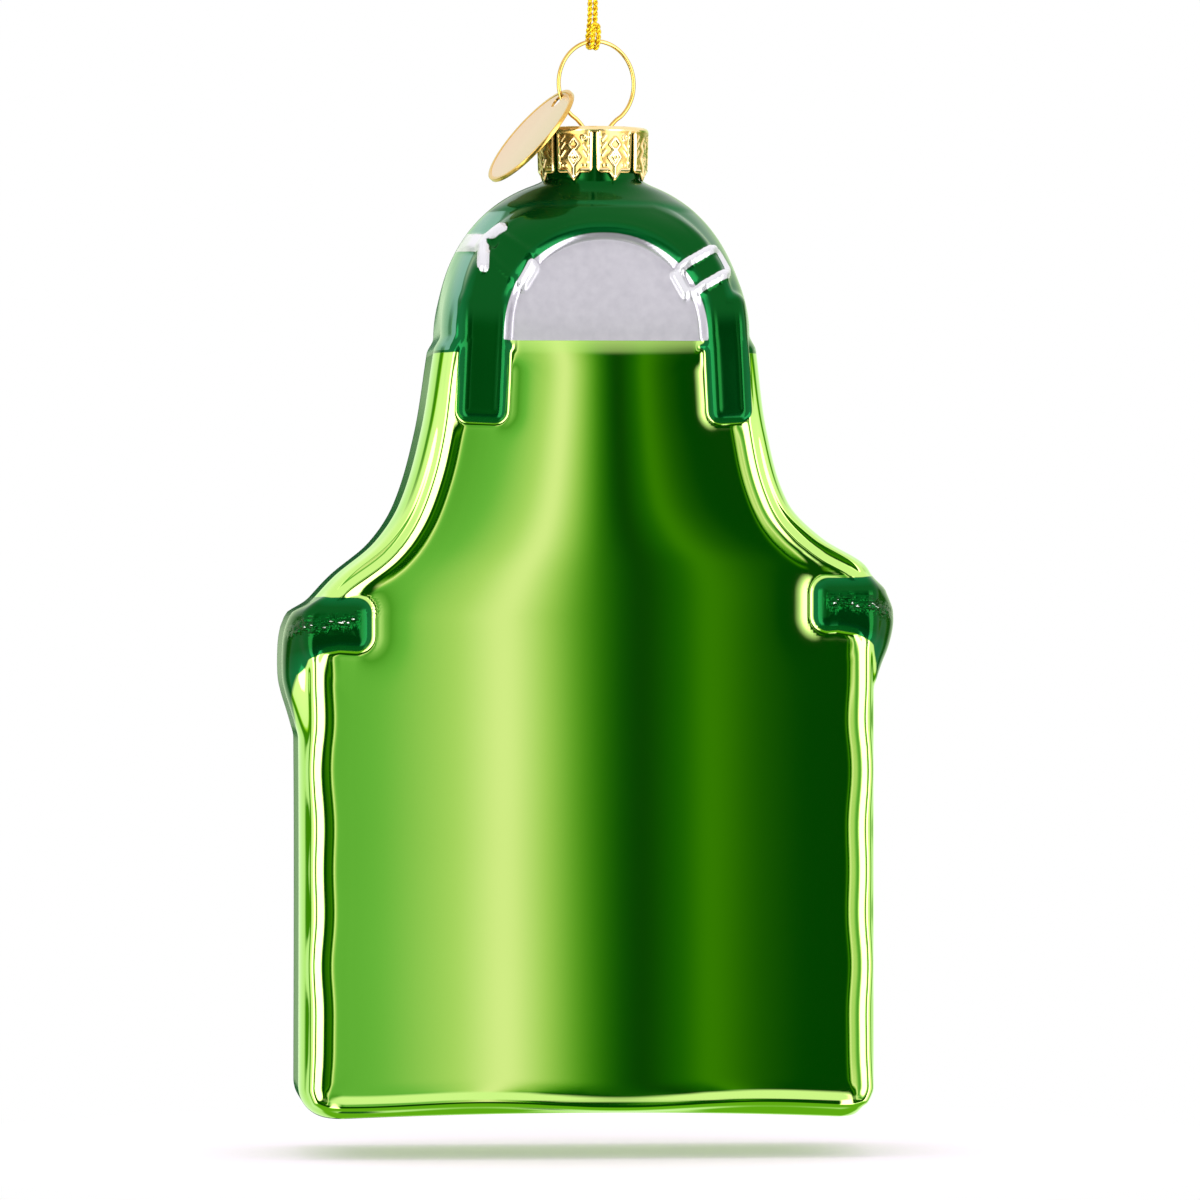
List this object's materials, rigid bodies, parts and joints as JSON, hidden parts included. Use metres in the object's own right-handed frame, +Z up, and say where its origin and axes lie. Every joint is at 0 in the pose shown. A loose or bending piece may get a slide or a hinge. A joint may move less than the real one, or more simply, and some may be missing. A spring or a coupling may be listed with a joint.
{
  "type": "glass apron ornament",
  "caption": "Blown glass ornament shaped like a bib apron with neck strap, buckles and waist ties, hung from a gold crown cap, wire ring and cord loop, with a round hang tag.",
  "frame": {"origin": "the point in the cord loop's eye where a hook carries the ornament, on the neck's axis", "axes": "+Z up along the neck's axis, -Y towards the viewer of the apron's front, +X to the viewer's right"},
  "size_m": [0.0706, 0.0278, 0.1566],
  "materials": {
    "lacquered_glass": "polished",
    "green_enamel": "polished",
    "silvered_glass": "polished",
    "silver_enamel": "satin",
    "gold_cap": "polished",
    "gold_wire": "polished",
    "brass_tag": "satin",
    "gold_cord": "satin"
  },
  "bodies": {
    "cord_loop": {"cord": "gold_cord", "cord_knot": "gold_cord"},
    "hanger": {"hanger_wire": "gold_wire"},
    "tag": {"hang_tag": "brass_tag"},
    "crown_cap": {"cap": "gold_cap"},
    "glass": {"glass_body": "lacquered_glass"}
  },
  "joints": [
    {"name": "ring_swing", "type": "hinge", "parent": "cord_loop", "child": "hanger", "pos_m": [0, 0, -0.026], "axis": [0.9489, 0.3156, 0], "range_deg": [-60, 60]},
    {"name": "tag_lift", "type": "hinge", "parent": "hanger", "child": "tag", "pos_m": [-0.00377, -0.00126, -0.0327], "axis": [-0.2974, 0.9548, 0], "range_deg": [0, 60]},
    {"name": "hanger_rock", "type": "hinge", "parent": "hanger", "child": "crown_cap", "pos_m": [0, 0, -0.03637], "axis": [0.9489, 0.3156, 0], "range_deg": [-6, 6]},
    {"name": "cap_pull", "type": "slide", "parent": "crown_cap", "child": "glass", "axis": [0, 0, -1], "range_m": [0, 0.012]}
  ]
}
